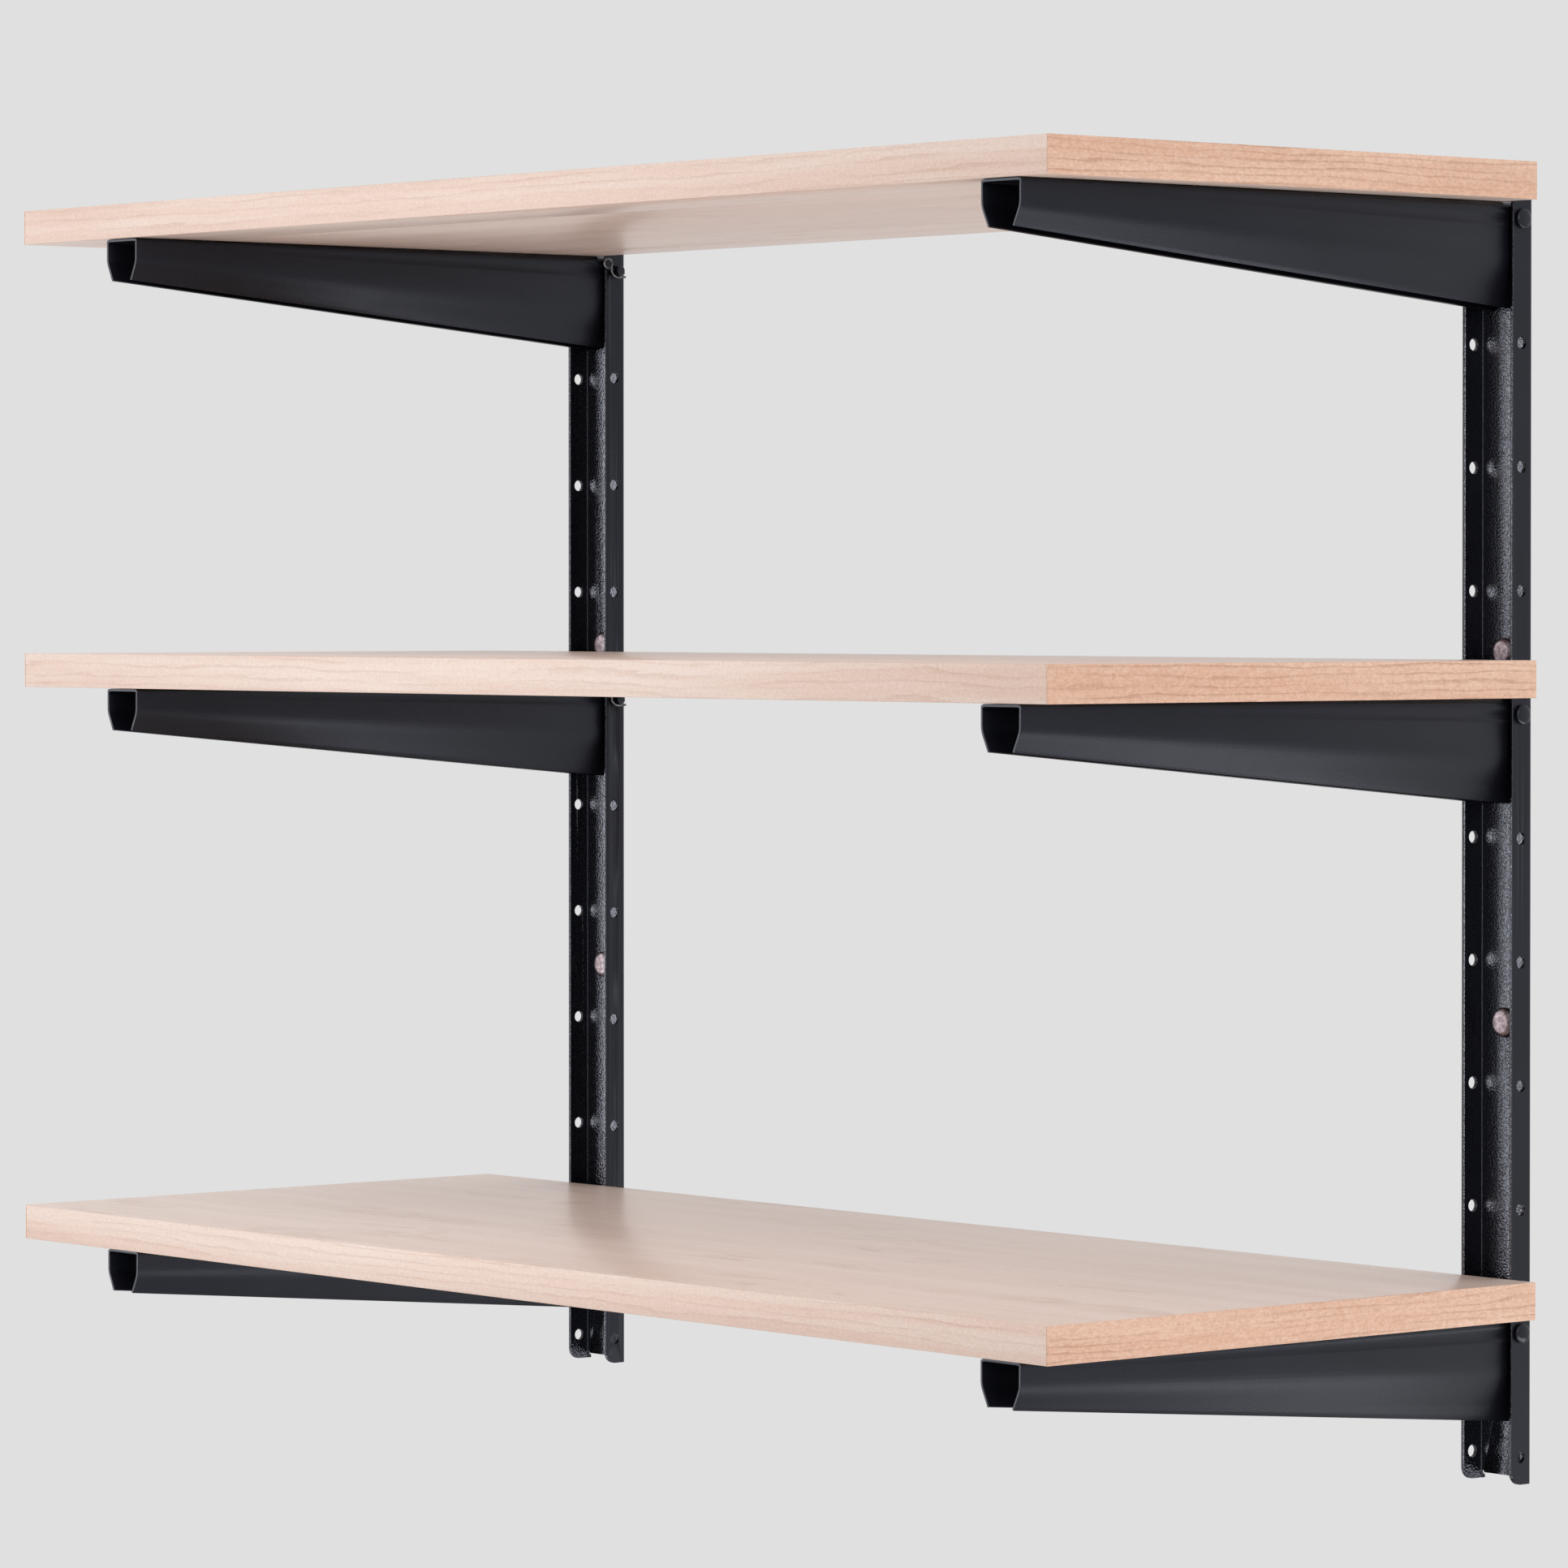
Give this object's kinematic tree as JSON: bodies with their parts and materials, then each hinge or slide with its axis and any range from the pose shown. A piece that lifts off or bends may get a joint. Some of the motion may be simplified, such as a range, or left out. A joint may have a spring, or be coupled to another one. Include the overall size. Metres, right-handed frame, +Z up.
{
  "type": "wall shelf with brackets",
  "caption": "Wall shelf: laminated boards on tapered folded-steel brackets, each hooked into a slotted wall upright by a headed pin and locked by an R-clip.",
  "frame": {"origin": "on the wall plane (the back faces of both uprights), midway between the uprights, level with their middle pin holes", "axes": "+X to the right along the boards seen from the front, +Y into the wall, +Z up; the boards stand out towards -Y"},
  "size_m": [1.227, 0.4926, 0.9483],
  "materials": {
    "upright_steel": "black powder coat, satin outside and glossier with orange peel inside",
    "bracket_steel": "black powder coat, satin",
    "pin_steel": "glossy black",
    "clip_wire": "zinc-plated spring wire",
    "bolt_zinc": "zinc plate with a faint pink passivation",
    "screw_zinc": "zinc plate",
    "board_laminate": "light wood-grain laminate, semi-gloss",
    "board_edge": "light wood-grain edge band, satin"
  },
  "bodies": {
    "uprights": {"upright_left": "upright_steel", "wall_bolt_left_1": "bolt_zinc", "wall_bolt_left_2": "bolt_zinc", "wall_bolt_left_3": "bolt_zinc", "wall_bolt_left_4": "bolt_zinc", "upright_right": "upright_steel", "wall_bolt_right_1": "bolt_zinc", "wall_bolt_right_2": "bolt_zinc", "wall_bolt_right_3": "bolt_zinc", "wall_bolt_right_4": "bolt_zinc"},
    "shelf_top": {"board_top": "board_laminate", "edge_band_top_left": "board_edge", "edge_band_top_right": "board_edge", "edge_band_top_front": "board_edge", "edge_band_top_rear": "board_edge", "bracket_top_left": "bracket_steel", "board_screw_top_left_1": "screw_zinc", "board_screw_top_left_2": "screw_zinc", "bracket_top_right": "bracket_steel", "board_screw_top_right_1": "screw_zinc", "board_screw_top_right_2": "screw_zinc"},
    "pin_top_left": {"pin_top_left": "pin_steel", "clip_top_left": "clip_wire"},
    "pin_top_right": {"pin_top_right": "pin_steel", "clip_top_right": "clip_wire"},
    "shelf_middle": {"board_middle": "board_laminate", "edge_band_middle_left": "board_edge", "edge_band_middle_right": "board_edge", "edge_band_middle_front": "board_edge", "edge_band_middle_rear": "board_edge", "bracket_middle_left": "bracket_steel", "board_screw_middle_left_1": "screw_zinc", "board_screw_middle_left_2": "screw_zinc", "bracket_middle_right": "bracket_steel", "board_screw_middle_right_1": "screw_zinc", "board_screw_middle_right_2": "screw_zinc"},
    "pin_middle_left": {"pin_middle_left": "pin_steel", "clip_middle_left": "clip_wire"},
    "pin_middle_right": {"pin_middle_right": "pin_steel", "clip_middle_right": "clip_wire"},
    "shelf_bottom": {"board_bottom": "board_laminate", "edge_band_bottom_left": "board_edge", "edge_band_bottom_right": "board_edge", "edge_band_bottom_front": "board_edge", "edge_band_bottom_rear": "board_edge", "bracket_bottom_left": "bracket_steel", "board_screw_bottom_left_1": "screw_zinc", "board_screw_bottom_left_2": "screw_zinc", "bracket_bottom_right": "bracket_steel", "board_screw_bottom_right_1": "screw_zinc", "board_screw_bottom_right_2": "screw_zinc"},
    "pin_bottom_left": {"pin_bottom_left": "pin_steel", "clip_bottom_left": "clip_wire"},
    "pin_bottom_right": {"pin_bottom_right": "pin_steel", "clip_bottom_right": "clip_wire"}
  },
  "joints": [
    {"name": "shelf_top_tilt", "type": "hinge", "parent": "uprights", "child": "shelf_top", "pos_m": [0, -0.012, 0.4445], "axis": [-1, 0, 0], "range_deg": [0, 2.4]},
    {"name": "shelf_middle_tilt", "type": "hinge", "parent": "uprights", "child": "shelf_middle", "pos_m": [0, -0.012, 0.0889], "axis": [-1, 0, 0], "range_deg": [0, 2.4]},
    {"name": "shelf_bottom_tilt", "type": "hinge", "parent": "uprights", "child": "shelf_bottom", "pos_m": [0, -0.012, -0.3556], "axis": [-1, 0, 0], "range_deg": [0, 2.4]},
    {"name": "pin_top_left_turn", "type": "hinge", "parent": "uprights", "child": "pin_top_left", "pos_m": [-0.5215, -0.012, 0.4445], "axis": [-1, 0, 0], "range_deg": [-120, 6]},
    {"name": "pin_top_right_turn", "type": "hinge", "parent": "uprights", "child": "pin_top_right", "pos_m": [0.5215, -0.012, 0.4445], "axis": [-1, 0, 0], "range_deg": [-120, 6]},
    {"name": "pin_middle_left_turn", "type": "hinge", "parent": "uprights", "child": "pin_middle_left", "pos_m": [-0.5215, -0.012, 0.0889], "axis": [-1, 0, 0], "range_deg": [-120, 6]},
    {"name": "pin_middle_right_turn", "type": "hinge", "parent": "uprights", "child": "pin_middle_right", "pos_m": [0.5215, -0.012, 0.0889], "axis": [-1, 0, 0], "range_deg": [-120, 6]},
    {"name": "pin_bottom_left_turn", "type": "hinge", "parent": "uprights", "child": "pin_bottom_left", "pos_m": [-0.5215, -0.012, -0.3556], "axis": [-1, 0, 0], "range_deg": [-120, 6]},
    {"name": "pin_bottom_right_turn", "type": "hinge", "parent": "uprights", "child": "pin_bottom_right", "pos_m": [0.5215, -0.012, -0.3556], "axis": [-1, 0, 0], "range_deg": [-120, 6]}
  ]
}
